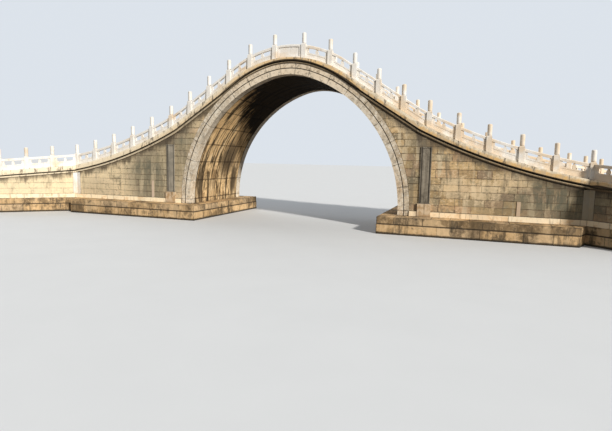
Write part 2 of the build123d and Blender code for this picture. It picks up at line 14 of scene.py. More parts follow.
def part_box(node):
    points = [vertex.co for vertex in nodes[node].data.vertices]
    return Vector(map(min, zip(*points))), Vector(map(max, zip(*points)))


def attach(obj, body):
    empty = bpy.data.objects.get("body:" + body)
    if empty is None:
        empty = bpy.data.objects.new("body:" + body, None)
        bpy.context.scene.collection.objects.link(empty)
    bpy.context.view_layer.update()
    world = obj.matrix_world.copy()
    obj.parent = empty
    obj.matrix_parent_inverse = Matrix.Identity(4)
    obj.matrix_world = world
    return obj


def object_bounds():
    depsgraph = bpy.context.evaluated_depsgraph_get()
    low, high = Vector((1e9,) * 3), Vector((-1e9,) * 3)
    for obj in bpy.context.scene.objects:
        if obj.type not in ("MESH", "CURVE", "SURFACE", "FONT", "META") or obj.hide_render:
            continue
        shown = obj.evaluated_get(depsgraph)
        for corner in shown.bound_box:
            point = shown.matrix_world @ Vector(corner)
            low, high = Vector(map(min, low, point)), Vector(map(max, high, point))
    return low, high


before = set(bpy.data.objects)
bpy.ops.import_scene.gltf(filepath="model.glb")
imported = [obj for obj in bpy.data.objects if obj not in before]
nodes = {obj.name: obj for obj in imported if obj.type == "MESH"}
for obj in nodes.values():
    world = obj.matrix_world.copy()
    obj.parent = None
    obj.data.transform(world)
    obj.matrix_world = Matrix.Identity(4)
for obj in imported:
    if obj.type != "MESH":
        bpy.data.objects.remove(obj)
cad_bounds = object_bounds()

UP = Vector((0, 0, 1))
ACROSS = Vector((0, 1, 0))
HALF_LENGTH = cad_bounds[1][0]
HEIGHT = cad_bounds[1][2]
TO_DEGREES = 180 / math.pi

# Courses from the plinth up, as a mason would lay them, and the sizes of stones and slabs
WALL_COURSES = (0.32, 0.32, 0.33, 0.30, 0.31, 0.38, 0.38, 0.32, 0.33, 0.32, 0.29, 0.28, 0.385, 0.385)
UPPER_COURSE = 0.36
WALL_STONE = 0.85
FOOTING_JOINT_LEVEL = 0.47
FOOTING_STONE = 1.5
PLINTH_STONE = 1.6
SLAB_LENGTH = 1.0
STEP_SLAB_WIDTH = 1.0
APPROACH_SLAB_WIDTH = 0.5
LANDING_SLAB_WIDTH = 0.7
FOOTING_SLAB_LENGTH = 1.2
FOOTING_SLAB_WIDTH = 0.8

# Joints, how far a stone stands out of the wall and reaches into it, its chamfer and its worn rim
BED_JOINT = 0.008
SIDE_JOINT = 0.004
PROUD = 0.010
PROUD_SPREAD = 0.004
CHAMFER = 0.008
RIM = 0.03
BED = 0.015
SLAB_PROUD = 0.005
SLAB_CHAMFER = 0.004

# Number of parts of a stone's narrowness, one of which is the most that its chamfer or its rim takes
CHAMFER_PARTS = 4
RIM_PARTS = 3

# How much the stones of a course differ in length, the shortest that may end it, and the shortest course
FIRST_STONE_SHARE = (0.5, 1.0)
LENGTH_SPREAD = 0.3
SHORTEST_STONE = 0.42
SHORTEST_COURSE = 0.0875

# Seeds of the stones' lengths, one for each kind of piece, plus the number of the piece
WALL_SEED = 40
WING_SEED = 60
FOOTING_SEED = 80
PLINTH_SEED = 90
STEP_SEED = 100
APPROACH_SEED = 110
FOOTING_TOP_SEED = 120
END_SEED = 130
LANDING_SEED = 140

# Limits under which a cut outline is cleaned, drawn in by less or left out, and tolerances of the cuts
SMALLEST_AREA = 0.003
SHORTEST_EDGE = 0.01
FLATTEST_CORNER = 0.0002
LEAST_INSET = 0.0005
SHARPEST_CORNER = 0.6
MERGE_DISTANCE = 1e-5
CUT_TOLERANCE = 1e-6

# Digits to which the normals and places of faces in one plane agree
PLANE_DIGITS = 2

# Limits that sort faces by the direction they face
SAME_WAY = 0.995
UPRIGHT = 0.02
FACING_UP = 0.9
FACING_DOWN = -0.7
OUTWARD = 0.1
WING_END = 0.9
APPROACH_END = 0.5

# The vault's setting out, which the lines between its stones follow, with its angle in degrees
HAUNCH_CENTRE = (-0.946, 1.05)
CROWN_CENTRE_LEVEL = 4.04
BREAK_ANGLE = 17.6
HAUNCH_STONES = 8
CROWN_STONES = 3

# Spacing of the points where the fillet's underside is read, as a share of half the bridge's length
LINE_STEP = 0.008

# Couplet pilasters: foot of the shaft, and its sunk field's place in from the outer side and width
SHAFT_FOOT = 1.42
FIELD_MARGIN = 0.115
FIELD_WIDTH = 0.375

# Places along the bridge where a change of finish starts and ends
PALE_WALLS = (1.0, -15.0)
WEST_WING = (-9.0, -14.0)
WARM_MARBLE = (1.5, 9.0)
PIER_STAIN_AND_SHADE = (6.0, 13.0)
PALE_CORNICE = (6.0, -14.0)
SHADED_CORNICE = (-12.0, 0.0)
STAINED_FOOTING = (-12.0, 8.0)
DARKER_FOOTING = (-2.0, 12.0)
PALE_PLINTH = (4.0, -8.0)
PALE_SHAFTS = (0.0, -1.0)

# Distances from the crown, and from the middle of the way, where a change of finish starts and ends
GAUGE_STRIPS = (12.5, 11.5)
WALKED = (1.6, 0.2)

# Heights where a change of finish starts and ends, and the height that a soft edge takes
RING_CROWN = (5.8, 7.4)
VAULT_PAINTED_LIGHT = (2.5, 5.0)
BASE_GRIME = (1.0, 0.7)
DARK_FOOT = (0.13, 0.06)
SMOOTH_FOOT = (0.03, 0.16)
SOFT_EDGE = 0.02

# Painted shade at the top of the vault: heights where it starts and is full at the viewed face, how far
# that face is from the middle, and how much lower the shade hangs with each metre behind it
VAULT_TOP_SHADE = (6.7, 7.6)
HALF_WIDTH = 2.9
SHADE_FALL = 0.5

# Heights above the underside of the fillet course where a change of finish starts and ends; FILLET_LIP and
# RECESS mark painted shade
PALE_EDGE_STONES = (0.25, 0.38)
FILLET_LIP = (0.060, 0.030)
FILLET_FACE = ((0.03, 0.05), (0.12, 0.10))
RECESS = ((0.085, 0.105), (0.195, 0.170))

# Weather stains on the walls, the second of them partly painted shade: place along the bridge, height,
# half width, half height, strength
STAINS = (
    (-8.2, 2.2, 1.5, 1.8, 0.85),
    (12.5, 1.8, 1.8, 1.1, 0.95),
    (-6.3, 3.6, 0.45, 1.7, 0.5),
    (6.5, 3.0, 0.5, 2.2, 0.45),
    (9.8, 1.5, 0.9, 0.5, 0.5),
    (-5.9, 4.2, 0.5, 1.2, 0.55),
    (-7.6, 4.3, 1.4, 0.35, 0.4),
    (-12.0, 1.4, 1.2, 0.5, 0.3),
)
# Patches of pale stones, and dark patches over the pilasters: place along the bridge and height,
# and the half width and half height of each kind
PALE_PATCHES = ((9.6, 2.1), (8.3, 2.2), (10.6, 2.6), (5.86, 5.25))
PALE_PATCH_SIZE = (0.7, 0.45)
DARK_PATCHES = ((-6.9, 4.7), (6.9, 4.7))
DARK_PATCH_SIZE = (0.4, 0.9)
# Dark patches in the vault: place across the bridge, height, half width, half height
VAULT_PATCHES = (
    (0.7, 3.4, 0.8, 1.1),
    (1.9, 2.0, 0.35, 0.9),
    (-2.0, 1.9, 0.3, 1.0),
)
# Squared reach at which a patch has faded out
PATCH_EDGE = 1.9

# Factor that makes a loose piece's second random number of its first, and rays that feel for shelter
RESHUFFLE = 57.31
SHELTER_RAYS = 8

# Camera: place in metres, turns, and lens and sensor in millimetres
CAMERA_PLACE = Vector((9.036, -25.510, 3.273))
CAMERA_YAW = math.radians(-19.341)
CAMERA_PITCH = math.radians(6.536)
CAMERA_ROLL = math.radians(-1.178)
LENS = 28.0
SENSOR = 36.0
FARTHEST_SEEN = 2000

# Floor: how far it reaches, how far it lies below the object, and its colours
FLOOR_REACH = 400.0
FLOOR_DROP = 0.001
FLOOR_SHOWN = ((0.71, 0.73, 0.75), (0.75, 0.77, 0.79))
FLOOR_LIGHTING = (0.16, 0.16, 0.16)

# Light from all round, and the backdrop that shows instead of it
FILL_COLOUR = (0.95, 0.97, 1.0, 1)
FILL_STRENGTH = 0.28
BACKDROP_COLOUR = (0.72, 0.77, 0.83, 1)
# Lamps: name, bearing from the viewed side towards the east, height and width of the disc in degrees,
# energy and colour
LAMPS = (
    ("key", 54, 25, 4, 3.95, (1.0, 0.95, 0.87)),
    ("back", -130, 32, 60, 1.3, (0.92, 0.96, 1.0)),
)


# Node materials

class Finish:
    """A procedural material, built up from a few kinds of step.

    x, y and z give a point's place, from_crown its distance from the crown along the bridge, and
    island a random number from 0 to 1 for each loose piece.
    """

    def __init__(self, name):
        self.material = bpy.data.materials.new(name)
        self.material.use_nodes = True
        self.tree = self.material.node_tree
        self.shader = self.tree.nodes["Principled BSDF"]
        self.place = self.tree.nodes.new("ShaderNodeTexCoord").outputs["Object"]
        parts = self.tree.nodes.new("ShaderNodeSeparateXYZ")
        self.tree.links.new(self.place, parts.inputs[0])
        self.x, self.y, self.z = parts.outputs
        self.from_crown = self.maths("ABSOLUTE", self.x)
        self.island = self.tree.nodes.new("ShaderNodeNewGeometry").outputs["Random Per Island"]

    def put(self, value, socket):
        """Feeds a socket from another node's output, or sets its number or colour."""
        if isinstance(value, bpy.types.NodeSocket):
            self.tree.links.new(value, socket)
        elif socket.type == "RGBA" and len(value) == 3:
            socket.default_value = (*value, 1)
        else:
            socket.default_value = value

    def maths(self, operation, first, second=0.0):
        node = self.tree.nodes.new("ShaderNodeMath")
        node.operation = operation
        self.put(first, node.inputs[0])
        self.put(second, node.inputs[1])
        return node.outputs[0]

    def plus(self, *values):
        total = values[0]
        for value in values[1:]:
            total = self.maths("ADD", total, value)
        return total

    def less(self, first, second):
        return self.maths("SUBTRACT", first, second)

    def times(self, first, second):
        return self.maths("MULTIPLY", first, second)

    def swing(self, value, reach):
        """A value from 0 to 1 turned into one that swings to both sides of 0."""
        return self.times(self.less(value, 0.5), reach)

    def ramp(self, value, low, high, to_low=0.0, to_high=1.0):
        """Smooth step of a value between two limits."""
        node = self.tree.nodes.new("ShaderNodeMapRange")
        node.interpolation_type = "SMOOTHSTEP"
        self.put(value, node.inputs["Value"])
        self.put(low, node.inputs["From Min"])
        self.put(high, node.inputs["From Max"])
        self.put(to_low, node.inputs["To Min"])
        self.put(to_high, node.inputs["To Max"])
        return node.outputs[0]

    def band(self, value, rise, fall):
        """1 in a stretch of a value that starts and ends softly, and 0 outside it."""
        return self.times(self.ramp(value, *rise), self.ramp(value, *fall))

    def near_whole(self, value, width):
        """1 where a value is a whole number, falling to 0 within a width."""
        return self.ramp(self.maths("PINGPONG", value, 0.5), 0.0, width, 1.0, 0.0)

    def curve(self, value, points, span):
        """A value carried through a line of points, over a span that starts at 0."""
        node = self.tree.nodes.new("ShaderNodeFloatCurve")
        self.put(self.maths("DIVIDE", value, span), node.inputs["Value"])
        line = node.mapping.curves[0]
        line.points[0].location = points[0]
        line.points[1].location = points[-1]
        for point in points[1:-1]:
            line.points.new(*point)
        for point in line.points:
            point.handle_type = "VECTOR"
        node.mapping.update()
        return node.outputs[0]

    def mix(self, share, first, second):
        node = self.tree.nodes.new("ShaderNodeMix")
        node.data_type = "RGBA"
        self.put(share, node.inputs["Factor"])
        self.put(first, node.inputs[6])
        self.put(second, node.inputs[7])
        return node.outputs[2]

    def stain(self, colour, value, low, high, share, tint, where=None):
        """Lays a tint over a colour, from none at a value's first limit up to a share at its second."""
        amount = self.ramp(value, low, high, 0, share)
        if where is not None:
            amount = self.times(amount, where)
        return self.mix(amount, colour, tint)

    def patch(self, along, place, level, half_width, half_height, ragged):
        """Soft patch about a place and a level on an upright face."""
        aside = self.maths("DIVIDE", self.less(along, place), half_width)
        above = self.maths("DIVIDE", self.less(self.z, level), half_height)
        reach = self.plus(self.times(aside, aside), self.times(above, above), ragged)
        return self.ramp(reach, PATCH_EDGE, 0.0)

    def noise(self, scale, detail=4.0, roughness=0.55, stretch=(1, 1, 1), warp=0.0, shift=(0, 0, 0)):
        mapping = self.tree.nodes.new("ShaderNodeMapping")
        self.put(self.place, mapping.inputs["Vector"])
        self.put(stretch, mapping.inputs["Scale"])
        self.put(shift, mapping.inputs["Location"])
        node = self.tree.nodes.new("ShaderNodeTexNoise")
        self.put(mapping.outputs[0], node.inputs["Vector"])
        self.put(scale, node.inputs["Scale"])
        self.put(detail, node.inputs["Detail"])
        self.put(roughness, node.inputs["Roughness"])
        self.put(warp, node.inputs["Distortion"])
        return node.outputs["Fac"]

    def pits(self, scale):
        """Distance to the nearest pit of the surface."""
        node = self.tree.nodes.new("ShaderNodeTexVoronoi")
        self.put(self.place, node.inputs["Vector"])
        self.put(scale, node.inputs["Scale"])
        return node.outputs["Distance"]

    def shelter(self, reach):
        """How closed in a point is, from 0 in the open to 1 in a deep corner."""
        node = self.tree.nodes.new("ShaderNodeAmbientOcclusion")
        node.samples = SHELTER_RAYS
        self.put(reach, node.inputs["Distance"])
        return self.less(1.0, node.outputs["AO"])

    def rim(self):
        """Nearness to the edge of a laid stone."""
        node = self.tree.nodes.new("ShaderNodeAttribute")
        node.attribute_name = "rim"
        return node.outputs["Fac"]

    def other_random(self):
        """A second number from 0 to 1 for each loose piece."""
        return self.maths("FRACT", self.times(self.island, RESHUFFLE))

    def finish(self, colour, roughness, relief, depth, shine=0.12):
        """Feeds the shader, with a relief as deep as a depth in metres."""
        self.put(colour, self.shader.inputs["Base Color"])
        self.put(roughness, self.shader.inputs["Roughness"])
        self.put(shine, self.shader.inputs["Specular IOR Level"])
        bump = self.tree.nodes.new("ShaderNodeBump")
        self.put(relief, bump.inputs["Height"])
        self.put(depth, bump.inputs["Distance"])
        self.put(1.0, bump.inputs["Strength"])
        self.tree.links.new(bump.outputs[0], self.shader.inputs["Normal"])
        return self.material


def fillet_underside():
    """Points on the fillet's underside, from the crown out, as shares of HALF_LENGTH and HEIGHT."""
    lowest = {}
    for name in ("fillet_front", "wing_fillet"):
        mesh = nodes[name].data
        for polygon in mesh.polygons:
            if polygon.normal.z < FACING_DOWN:
                for index in polygon.vertices:
                    corner = mesh.vertices[index].co
                    place = abs(corner.x) / HALF_LENGTH
                    lowest[round(place / LINE_STEP)] = (place, corner.z / HEIGHT)
    return [lowest[step] for step in sorted(lowest)]


FILLET_LINE = fillet_underside()


def below_fillet(finish):
    """How far a point lies below the underside of the fillet course."""
    level = finish.curve(finish.from_crown, FILLET_LINE, HALF_LENGTH)
    return finish.less(finish.times(level, HEIGHT), finish.z)


def vault_joints(finish, width):
    """Lines on the vault and its face rings where one stone ends and the next starts."""
    aside = finish.less(finish.from_crown, HAUNCH_CENTRE[0])
    above = finish.less(finish.z, HAUNCH_CENTRE[1])
    haunch = finish.maths("ARCTAN2", above, aside)
    haunch = finish.times(haunch, TO_DEGREES * HAUNCH_STONES / (90 - BREAK_ANGLE))
    over = finish.maths("ARCTAN2", finish.from_crown, finish.less(finish.z, CROWN_CENTRE_LEVEL))
    over = finish.times(over, TO_DEGREES)
    crown = finish.plus(finish.times(over, CROWN_STONES / (2 * BREAK_ANGLE)), 0.5)
    in_crown = finish.maths("LESS_THAN", over, BREAK_ANGLE)
    in_haunch = finish.less(1.0, in_crown)
    count = finish.plus(finish.times(crown, in_crown), finish.times(haunch, in_haunch))
    return finish.near_whole(count, width)


def stone_relief(finish, coarse=9.0):
    """Dressed surface: low swells, grain and pits."""
    swell = finish.noise(coarse, 5, 0.6)
    grain = finish.noise(120, 3, 0.7)
    pits = finish.ramp(finish.pits(55), 0.0, 0.35)
    return finish.plus(swell, finish.times(grain, 0.25), finish.times(pits, 0.3))


def ashlar_material():
    """Stones of the walls: warm in the east and pale in the west, clouded, streaked and stained."""
    finish = Finish("ashlar")
    tone = finish.island
    tint = finish.other_random()
    colour = finish.mix(finish.ramp(tone, 0.0, 1.0), (0.43, 0.30, 0.15), (0.68, 0.48, 0.25))
    colour = finish.stain(colour, tint, 0.60, 0.90, 0.55, (0.56, 0.36, 0.24))
    colour = finish.stain(colour, tint, 0.36, 0.08, 0.45, (0.44, 0.38, 0.27))
    colour = finish.stain(colour, tone, 0.10, 0.04, 0.5, (0.18, 0.15, 0.11))
    colour = finish.stain(colour, finish.x, *PALE_WALLS, 0.78, (0.98, 0.84, 0.58))
    weather = finish.ramp(finish.x, *WEST_WING, 1.0, 0.4)
    cloud = finish.noise(1.3, 8, 0.72, warp=0.6)
    fleck = finish.noise(6.5, 6, 0.75, stretch=(1, 1, 1.6), warp=0.4)
    streak = finish.noise(2.6, 6, 0.7, stretch=(1, 1, 0.13), warp=0.25)
    colour = finish.stain(colour, cloud, 0.50, 0.61, 0.6, (0.27, 0.235, 0.16), weather)
    colour = finish.stain(colour, fleck, 0.53, 0.63, 0.65, (0.20, 0.16, 0.11), weather)
    colour = finish.stain(colour, fleck, 0.48, 0.38, 0.6, (0.86, 0.68, 0.45))
    colour = finish.stain(colour, streak, 0.53, 0.63, 0.65, (0.19, 0.165, 0.12), weather)
    colour = finish.stain(colour, streak, 0.47, 0.37, 0.55, (0.84, 0.70, 0.48))
    ragged = finish.plus(finish.swing(fleck, 2.5), finish.swing(cloud, 4.0), finish.swing(streak, 5.0))
    runs = finish.ramp(streak, 0.40, 0.55, 0.5, 1.0)
    # Stains laid over the stones, the second of them partly painted shade.
    for x, z, width, height, strength in STAINS:
        stain_and_shade = finish.times(finish.patch(finish.x, x, z, width, height, ragged), runs)
        colour = finish.mix(finish.times(stain_and_shade, strength), colour, (0.135, 0.135, 0.10))
    for x, z in PALE_PATCHES:
        patch = finish.patch(finish.x, x, z, *PALE_PATCH_SIZE, ragged)
        colour = finish.mix(finish.times(patch, 0.6), colour, (0.86, 0.68, 0.44))
    for x, z in DARK_PATCHES:
        patch = finish.patch(finish.x, x, z, *DARK_PATCH_SIZE, ragged)
        colour = finish.mix(finish.times(patch, 0.75), colour, (0.12, 0.10, 0.08))
    edge = finish.plus(finish.rim(), finish.swing(cloud, 3.0), finish.swing(fleck, 2.0))
    colour = finish.stain(colour, edge, 0.5, 1.5, 0.8, (0.12, 0.09, 0.06), weather)
    # Dirt and painted shade: the wall darkens towards the underside of the fillet course, where the
    # cornice shades it.
    dirt_and_shade_below = finish.plus(below_fillet(finish), finish.swing(streak, 1.4), finish.swing(fleck, 0.4))
    colour = finish.stain(colour, dirt_and_shade_below, 0.40, 0.02, 0.85, (0.09, 0.07, 0.05))
    rough = finish.ramp(cloud, 0.3, 0.7, 0.78, 0.92)
    return finish.finish(colour, rough, stone_relief(finish), depth=0.012)


def mortar_material():
    """The ground between the stones: dark, with patches of pale lime, and paler on the west wing."""
    finish = Finish("mortar")
    patch = finish.noise(2.5, 6, 0.7)
    colour = finish.mix(finish.ramp(patch, 0.35, 0.6), (0.03, 0.024, 0.016), (0.24, 0.18, 0.11))
    colour = finish.stain(colour, finish.x, *WEST_WING, 0.7, (0.50, 0.40, 0.25))
    return finish.finish(colour, 0.95, finish.noise(90, 3), depth=0.004, shine=0.1)


def marble_material():
    """Balustrade, piers and gauge strips: white marble with veins, streaks and warm patches."""
    finish = Finish("white_marble")
    cloud = finish.noise(3.5, 6, 0.6, warp=0.6)
    colour = finish.mix(finish.ramp(cloud, 0.35, 0.68), (0.92, 0.90, 0.87), (0.86, 0.82, 0.76))
    colour = finish.stain(colour, finish.island, 0.5, 1.0, 0.25, (0.78, 0.72, 0.62))
    vein = finish.noise(5, 8, 0.75, stretch=(1, 1, 0.5), warp=1.6)
    vein = finish.maths("ABSOLUTE", finish.less(vein, 0.5))
    colour = finish.stain(colour, vein, 0.02, 0.0, 0.35, (0.50, 0.48, 0.44))
    streak = finish.noise(9, 5, 0.65, stretch=(1, 1, 0.10), warp=0.2)
    colour = finish.stain(colour, streak, 0.55, 0.70, 0.55, (0.48, 0.46, 0.43))
    east = finish.ramp(finish.x, *WARM_MARBLE, 0, 0.14)
    warm = finish.plus(finish.noise(1.3, 4, 0.5, shift=(7, 3, 1)), east)
    colour = finish.stain(colour, warm, 0.50, 0.72, 0.7, (0.76, 0.58, 0.38))
    # Partly stain, partly painted shade: a dark film on the marble below the cornice, towards the east
    # pier.
    under_cornice = finish.ramp(below_fillet(finish), 0.0, 0.05)
    stain_and_shade = finish.ramp(finish.plus(finish.x, finish.swing(cloud, 4.0)), *PIER_STAIN_AND_SHADE, 0.1, 0.9)
    colour = finish.mix(finish.times(under_cornice, stain_and_shade), colour, (0.33, 0.275, 0.185))
    strips = finish.ramp(finish.from_crown, *GAUGE_STRIPS, 0, 0.8)
    colour = finish.mix(finish.times(under_cornice, strips), colour, (0.60, 0.44, 0.30))
    # Painted shade: the marble darkens where it is closed in, in corners and crevices.
    crevice_shade = finish.plus(finish.shelter(0.10), finish.swing(cloud, 0.5))
    colour = finish.stain(colour, crevice_shade, 0.28, 0.85, 0.8, (0.18, 0.15, 0.115))
    relief = finish.plus(finish.noise(16, 5, 0.6), finish.times(finish.noise(150, 3), 0.2))
    rough = finish.ramp(cloud, 0.3, 0.7, 0.55, 0.75)
    return finish.finish(colour, rough, relief, depth=0.004, shine=0.25)


def cornice_material():
    """Edge stones and fillet course: pale at the top and yellow below, with black painted shade in the
    recess between them and dark painted shade at the foot of the fillet.
    """
    finish = Finish("cornice_stone")
    cloud = finish.noise(2.6, 6, 0.65, warp=0.5)
    streak = finish.noise(4.5, 7, 0.75, stretch=(1, 1, 0.3), warp=0.3)
    above = finish.times(below_fillet(finish), -1.0)
    ragged = finish.plus(above, finish.swing(cloud, 0.3), finish.swing(streak, 0.3))
    paler = finish.ramp(ragged, *PALE_EDGE_STONES)
    colour = finish.mix(paler, (0.80, 0.53, 0.24), (0.98, 0.86, 0.66))
    colour = finish.stain(colour, cloud, 0.52, 0.62, 0.5, (0.48, 0.33, 0.17))
    colour = finish.stain(colour, finish.island, 0.35, 1.0, 0.55, (0.54, 0.46, 0.35))
    colour = finish.stain(colour, finish.x, *PALE_CORNICE, 0.85, (1.0, 0.89, 0.68))
    colour = finish.stain(colour, streak, 0.52, 0.62, 0.8, (0.14, 0.11, 0.08))
    fillet = finish.band(above, *FILLET_FACE)
    colour = finish.mix(finish.times(fillet, 0.6), colour, (0.44, 0.38, 0.27))
    # Painted shade: black in the recess under the edge stones and dark at the foot of the fillet, fading
    # towards the west end.
    shade_share = finish.ramp(finish.x, *SHADED_CORNICE, 0.15, 0.92)
    lip = finish.ramp(finish.plus(above, finish.swing(cloud, 0.06)), *FILLET_LIP)
    colour = finish.mix(finish.times(lip, shade_share), colour, (0.10, 0.075, 0.05))
    recess = finish.band(above, *RECESS)
    colour = finish.mix(finish.times(recess, shade_share), colour, (0.035, 0.026, 0.018))
    # Painted shade: the stone darkens where it is closed in, in corners and recesses.
    crevice_shade = finish.plus(finish.shelter(0.12), finish.swing(cloud, 0.5))
    colour = finish.stain(colour, crevice_shade, 0.2, 0.7, 0.9, (0.07, 0.055, 0.04))
    return finish.finish(colour, 0.85, stone_relief(finish), depth=0.008)


def ring_material(name, pale, deep):
    """Stones of the ring or the hood band: flecked, streaked, paler at the crown, dark at each joint."""
    finish = Finish(name)
    cloud = finish.noise(1.8, 8, 0.7, warp=0.5)
    fleck = finish.noise(7, 6, 0.75, warp=0.4)
    colour = finish.mix(finish.ramp(cloud, 0.36, 0.62), pale, deep)
    colour = finish.stain(colour, finish.island, 0.3, 1.0, 0.5, (0.46, 0.42, 0.35))
    warm = finish.noise(1.1, 4, 0.5, shift=(3, 0, 5))
    colour = finish.stain(colour, warm, 0.5, 0.7, 0.6, (0.62, 0.44, 0.26))
    colour = finish.stain(colour, fleck, 0.51, 0.66, 0.65, (0.24, 0.205, 0.16))
    colour = finish.stain(colour, fleck, 0.48, 0.39, 0.7, (0.86, 0.80, 0.70))
    streak = finish.noise(2.6, 7, 0.72, stretch=(0.8, 1, 0.5), warp=0.9)
    colour = finish.stain(colour, streak, 0.53, 0.67, 0.6, (0.22, 0.19, 0.15))
    colour = finish.stain(colour, streak, 0.47, 0.38, 0.6, (0.85, 0.78, 0.66))
    crown = finish.ramp(finish.z, *RING_CROWN, 0, 0.6)
    colour = finish.stain(colour, fleck, 0.60, 0.50, 1.0, (0.92, 0.77, 0.58), crown)
    joint = finish.times(vault_joints(finish, 0.03), finish.ramp(fleck, 0.35, 0.6, 0.3, 0.9))
    colour = finish.mix(joint, colour, (0.08, 0.07, 0.055))
    # Painted shade: the ring and hood darken where they are closed in, in corners and grooves.
    crevice_shade = finish.plus(finish.shelter(0.10), finish.swing(cloud, 0.6))
    colour = finish.stain(colour, crevice_shade, 0.2, 0.6, 0.95, (0.045, 0.035, 0.03))
    return finish.finish(colour, 0.82, stone_relief(finish, 6.0), depth=0.010)


def vault_material():
    """Strips of the vault: tan stone with dark runs, dark seams between strips, painted light above mid
    height, and painted shade at the top.
    """
    finish = Finish("vault_stone")
    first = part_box("vault_strip_1")[0].y
    strip_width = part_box("vault_strip_2")[0].y - first
    cloud = finish.noise(1.6, 8, 0.7, warp=0.5)
    colour = finish.mix(finish.ramp(cloud, 0.45, 0.58), (0.88, 0.62, 0.33), (0.34, 0.225, 0.115))
    colour = finish.stain(colour, finish.island, 0.2, 1.0, 0.6, (0.56, 0.41, 0.235))
    colour = finish.stain(colour, finish.other_random(), 0.7, 0.9, 0.6, (0.22, 0.16, 0.10))
    # Painted light: the vault brighter and more orange above mid height.
    colour = finish.stain(colour, finish.z, *VAULT_PAINTED_LIGHT, 0.65, (1.0, 0.67, 0.33))
    drip = finish.noise(2.6, 7, 0.75, stretch=(0.16, 1, 0.16), warp=0.25)
    colour = finish.stain(colour, drip, 0.485, 0.575, 0.9, (0.06, 0.045, 0.028))
    bloom = finish.noise(3.0, 6, 0.7, stretch=(0.25, 1, 0.25), shift=(1, 7, 2))
    colour = finish.stain(colour, bloom, 0.53, 0.64, 0.75, (0.87, 0.66, 0.40))
    strip = finish.maths("DIVIDE", finish.less(finish.y, first), strip_width)
    seam = finish.near_whole(strip, finish.plus(0.12, finish.swing(drip, 0.5)))
    colour = finish.mix(finish.times(seam, 0.92), colour, (0.035, 0.026, 0.018))
    ragged = finish.plus(finish.swing(cloud, 3.0), finish.swing(drip, 4.0))
    for place, level, width, height in VAULT_PATCHES:
        patch = finish.patch(finish.y, place, level, width, height, ragged)
        colour = finish.mix(finish.times(patch, 0.85), colour, (0.05, 0.038, 0.027))
    joint = finish.times(vault_joints(finish, 0.06), finish.ramp(cloud, 0.3, 0.6, 0.3, 0.9))
    colour = finish.mix(joint, colour, (0.045, 0.03, 0.02))
    # Painted shade: near black at the top of the vault, hanging lower towards the back.
    deeper = finish.times(finish.plus(finish.y, HALF_WIDTH), SHADE_FALL)
    vault_top_shade = finish.plus(finish.z, deeper, finish.swing(cloud, 1.6), finish.swing(drip, 1.2))
    colour = finish.stain(colour, vault_top_shade, *VAULT_TOP_SHADE, 0.97, (0.014, 0.012, 0.010))
    return finish.finish(colour, 0.88, stone_relief(finish, 6.0), depth=0.016, shine=0.02)


def footing_material():
    """Stones of the footing: brown, darker on the upper course, with dark edges and a black foot."""
    finish = Finish("footing_stone")
    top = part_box("footing_east")[1].z
    tint = finish.other_random()
    colour = finish.mix(finish.island, (0.44, 0.285, 0.135), (0.78, 0.53, 0.28))
    colour = finish.stain(colour, tint, 0.6, 0.9, 0.6, (0.56, 0.43, 0.29))
    cloud = finish.noise(1.9, 8, 0.72, warp=0.4)
    fleck = finish.noise(6, 6, 0.75, warp=0.3)
    streak = finish.noise(1.9, 7, 0.72, stretch=(1, 1, 0.3), warp=0.5)
    upper = finish.ramp(finish.z, FOOTING_JOINT_LEVEL - SOFT_EDGE, FOOTING_JOINT_LEVEL + SOFT_EDGE)
    below_top = finish.less(1.0, finish.ramp(finish.z, top - SOFT_EDGE, top))
    stained = finish.times(upper, below_top)
    stained = finish.times(stained, finish.ramp(finish.x, *STAINED_FOOTING, 0.2, 0.68))
    colour = finish.mix(stained, colour, (0.15, 0.105, 0.06))
    colour = finish.stain(colour, cloud, 0.50, 0.60, 0.7, (0.13, 0.10, 0.07))
    pale = finish.ramp(stained, 0.0, 0.8, 0.6, 0.4)
    colour = finish.stain(colour, fleck, 0.50, 0.34, 1.0, (0.80, 0.57, 0.33), pale)
    colour = finish.stain(colour, streak, 0.49, 0.66, 0.85, (0.09, 0.07, 0.045))
    drip = finish.noise(4.0, 6, 0.75, stretch=(1, 1, 0.15), warp=0.4, shift=(2, 5, 0))
    colour = finish.stain(colour, drip, 0.53, 0.60, 0.6, (0.10, 0.08, 0.055))
    colour = finish.stain(colour, streak, 0.49, 0.34, 1.0, (0.80, 0.57, 0.33), pale)
    east = finish.ramp(finish.x, *DARKER_FOOTING, 0, 0.005)
    darker = finish.plus(finish.noise(0.9, 6, 0.65, shift=(4, 1, 2)), east)
    colour = finish.stain(colour, darker, 0.52, 0.60, 0.65, (0.13, 0.09, 0.05))
    colour = finish.stain(colour, darker, 0.48, 0.38, 0.55, (0.88, 0.63, 0.36))
    edge = finish.plus(finish.rim(), finish.swing(cloud, 2.4), finish.swing(fleck, 1.2))
    colour = finish.stain(colour, edge, 0.4, 1.3, 0.85, (0.07, 0.055, 0.04))
    from_joint = finish.maths("ABSOLUTE", finish.less(finish.z, FOOTING_JOINT_LEVEL))
    from_joint = finish.plus(from_joint, finish.swing(cloud, 0.06))
    colour = finish.stain(colour, from_joint, 0.045, 0.01, 0.85, (0.03, 0.024, 0.018))
    ragged = finish.plus(finish.z, finish.swing(cloud, 0.16))
    colour = finish.stain(colour, ragged, *DARK_FOOT, 0.93, (0.03, 0.026, 0.02))
    rough = finish.ramp(ragged, *SMOOTH_FOOT, 0.35, 0.88)
    return finish.finish(colour, rough, stone_relief(finish, 6.0), depth=0.014)


